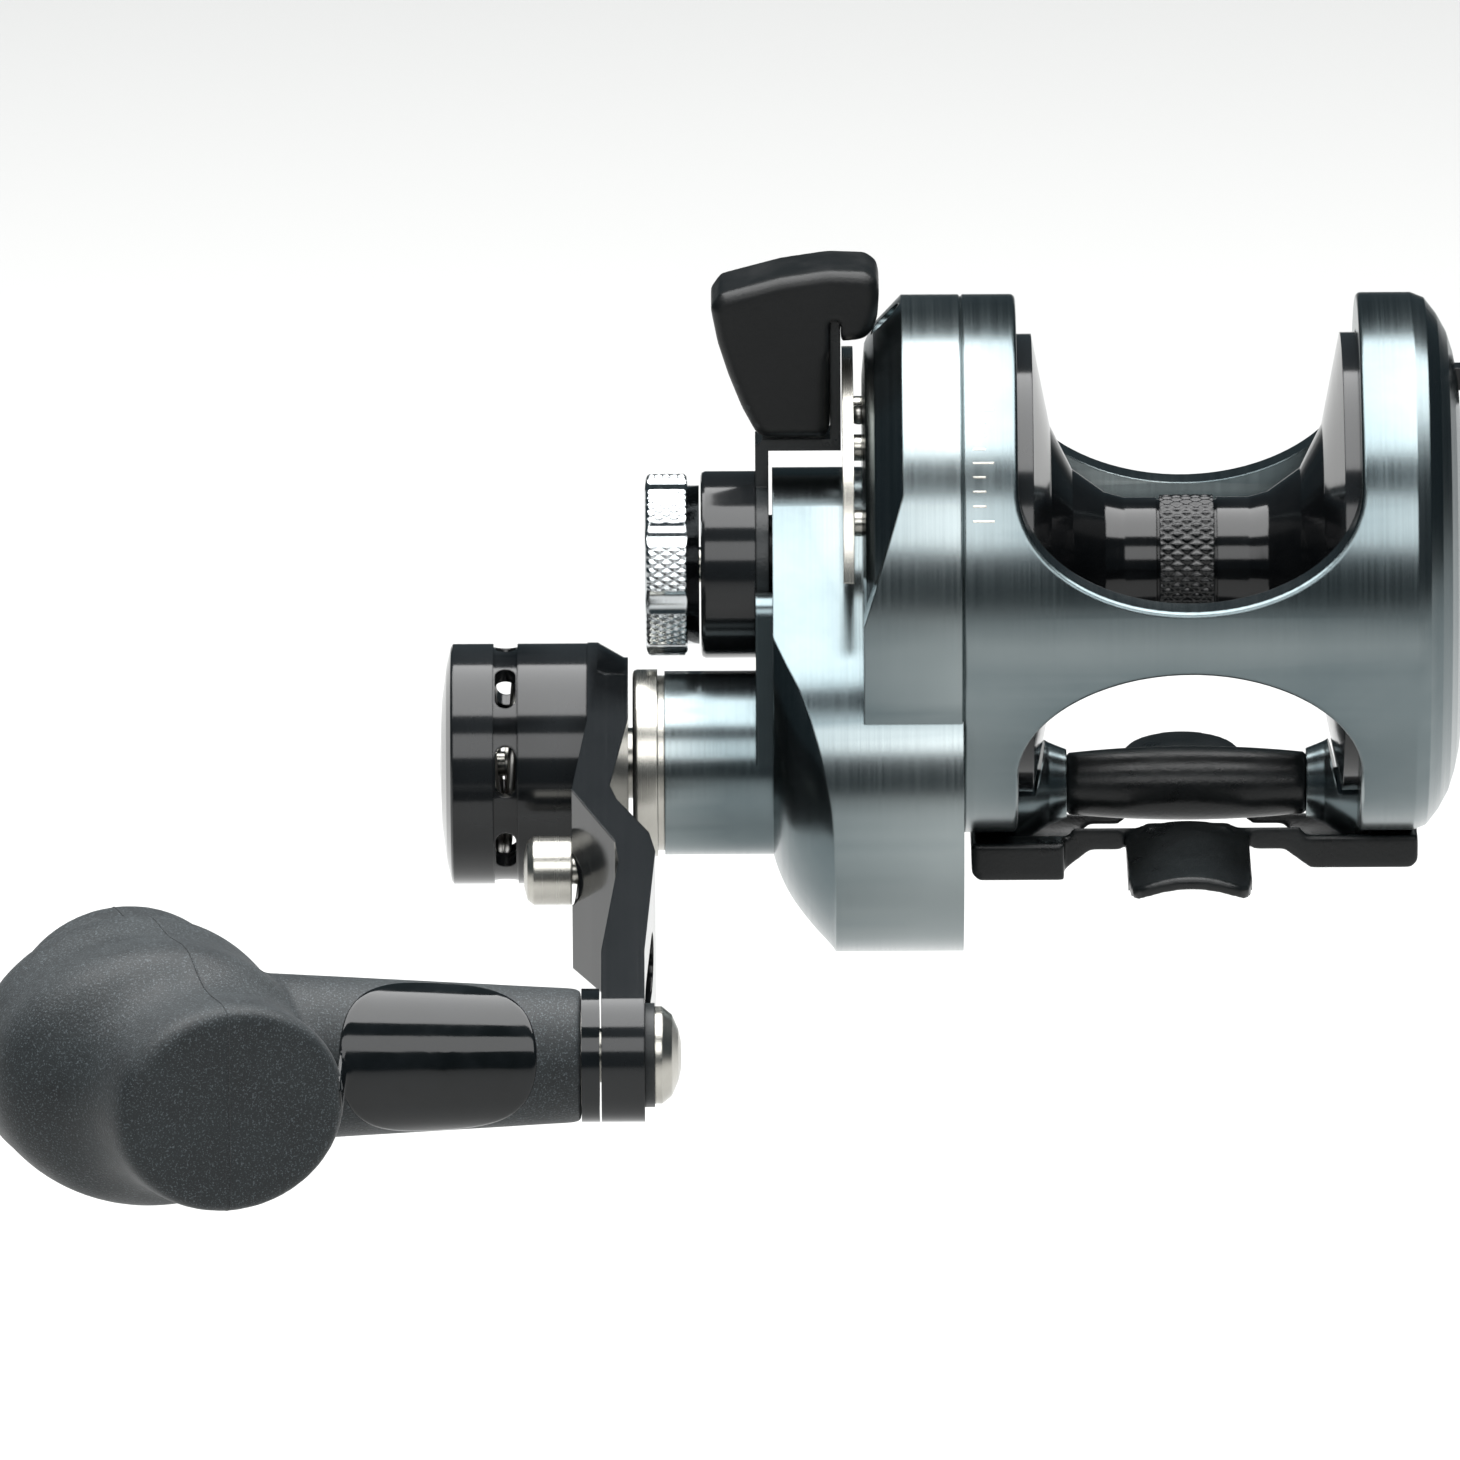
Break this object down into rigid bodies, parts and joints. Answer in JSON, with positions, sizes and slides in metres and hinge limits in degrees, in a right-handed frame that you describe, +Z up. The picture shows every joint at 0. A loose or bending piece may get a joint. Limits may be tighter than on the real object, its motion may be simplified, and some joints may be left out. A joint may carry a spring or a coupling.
{
  "type": "trolling reel",
  "caption": "Two-speed lever-drag trolling reel: open ring frame, waisted spool, offset gearbox with a cranked arm and T-bar grip, drag lever, preset knob and arched foot.",
  "frame": {"origin": "middle of the underside of the reel foot", "axes": "+X along the spool axis, away from the handle; -Y towards the rod tip; +Z up, away from the rod"},
  "size_m": [0.1699, 0.1361, 0.0848],
  "materials": {
    "anodised_frame": "gunmetal anodised, satin",
    "black_anodise": "gloss black anodised",
    "black_casting": "textured black coating",
    "lever_plastic": "moulded, fine grain",
    "stainless": "satin",
    "chrome": "polished, knurled",
    "grip_rubber": "speckled, matte",
    "grip_gloss": "gloss moulded",
    "drag_disc": "woven carbon",
    "gear_steel": "machined",
    "seal_rubber": "matte"
  },
  "bodies": {
    "root": {"frame": "anodised_frame", "lower_crossbar": "black_casting", "reel_foot": "black_casting", "foot_screws": "stainless", "handle_side_plate": "anodised_frame", "side_plate_screws": "stainless", "gear_plate": "anodised_frame", "tower_ring": "stainless", "tower_bearing": "gear_steel", "tail_bearing": "gear_steel", "shaft_seal": "seal_rubber", "quadrant_plate": "stainless", "quadrant_posts": "stainless", "detent_ball": "gear_steel", "detent_spring": "gear_steel", "spool_shaft": "stainless", "tail_cap": "black_anodise", "cam_follower": "gear_steel", "belleville_washers": "gear_steel", "dog_pins": "gear_steel"},
    "handle": {"main_shaft": "stainless", "high_gear": "gear_steel", "ratchet_wheel": "gear_steel", "handle_arm": "black_anodise", "hub_base": "black_anodise", "shift_spring": "gear_steel", "grip_spindle": "stainless", "tip_washer": "lever_plastic", "tip_screw": "stainless"},
    "spool": {"spool": "black_anodise", "spool_bearing_left": "gear_steel", "spool_bearing_right": "gear_steel", "drag_washer": "drag_disc", "drag_seat": "gear_steel", "pressure_plate": "stainless", "high_pinion": "gear_steel", "low_pinion": "gear_steel", "click_wheel": "gear_steel"},
    "low_gear": {"low_gear": "gear_steel"},
    "grip": {"grip": "grip_rubber", "grip_insert": "grip_gloss", "grip_collar": "grip_gloss", "grip_bearings": "gear_steel"},
    "shift_button": {"shift_button": "black_anodise", "shift_rod": "stainless"},
    "release_pin": {"release_pin": "stainless"},
    "drag_lever": {"drag_lever": "black_casting", "lever_cap": "black_anodise", "lever_knob": "lever_plastic", "cam_ring": "gear_steel"},
    "preset_knob": {"preset_knob": "chrome"},
    "click_button": {"click_button": "black_anodise", "click_tongue": "gear_steel"},
    "front_dog": {"front_dog": "gear_steel"},
    "rear_dog": {"rear_dog": "gear_steel"}
  },
  "joints": [
    {"name": "handle_spin", "type": "hinge", "parent": "root", "child": "handle", "pos_m": [0, -0.0093, 0.011], "axis": [1, 0, 0], "continuous": true},
    {"name": "spool_spin", "type": "hinge", "parent": "root", "child": "spool", "pos_m": [0, 0, 0.0317], "axis": [1, 0, 0], "continuous": true},
    {"name": "low_gear_spin", "type": "hinge", "parent": "root", "child": "low_gear", "pos_m": [0, -0.0093, 0.011], "axis": [1, 0, 0], "continuous": true},
    {"name": "grip_spin", "type": "hinge", "parent": "handle", "child": "grip", "pos_m": [-0.1, -0.07998, -0.00274], "axis": [1, 0, 0], "continuous": true},
    {"name": "shift_push", "type": "slide", "parent": "handle", "child": "shift_button", "axis": [1, 0, 0], "range_m": [0, 0.0023], "stiffness_N_per_m": 700, "deforming": ["shift_spring"]},
    {"name": "release_push", "type": "slide", "parent": "handle", "child": "release_pin", "axis": [1, 0, 0], "range_m": [0, 0.0015], "stiffness_N_per_m": 600},
    {"name": "drag_lever_swing", "type": "hinge", "parent": "root", "child": "drag_lever", "pos_m": [0, 0, 0.0317], "axis": [1, 0, 0], "range_deg": [-50, 56]},
    {"name": "preset_turn", "type": "hinge", "parent": "drag_lever", "child": "preset_knob", "pos_m": [0, 0, 0.0317], "axis": [1, 0, 0], "range_deg": [-270, 270]},
    {"name": "click_slide", "type": "slide", "parent": "root", "child": "click_button", "axis": [0, 0, -1], "range_m": [0, 0.003]},
    {"name": "front_dog_swing", "type": "hinge", "parent": "root", "child": "front_dog", "pos_m": [-0.039, -0.01365, -0.00061], "axis": [-1, 0, 0], "range_deg": [0, 10], "stiffness_Nm_per_rad": 0.0005},
    {"name": "rear_dog_swing", "type": "hinge", "parent": "root", "child": "rear_dog", "pos_m": [-0.039, 0.00309, 0.01045], "axis": [-1, 0, 0], "range_deg": [0, 10], "stiffness_Nm_per_rad": 0.0005}
  ],
  "couplings": [
    {"joint": "spool_spin", "follows": "handle_spin", "ratio": -5.5},
    {"joint": "low_gear_spin", "follows": "handle_spin", "ratio": 2.0263}
  ]
}
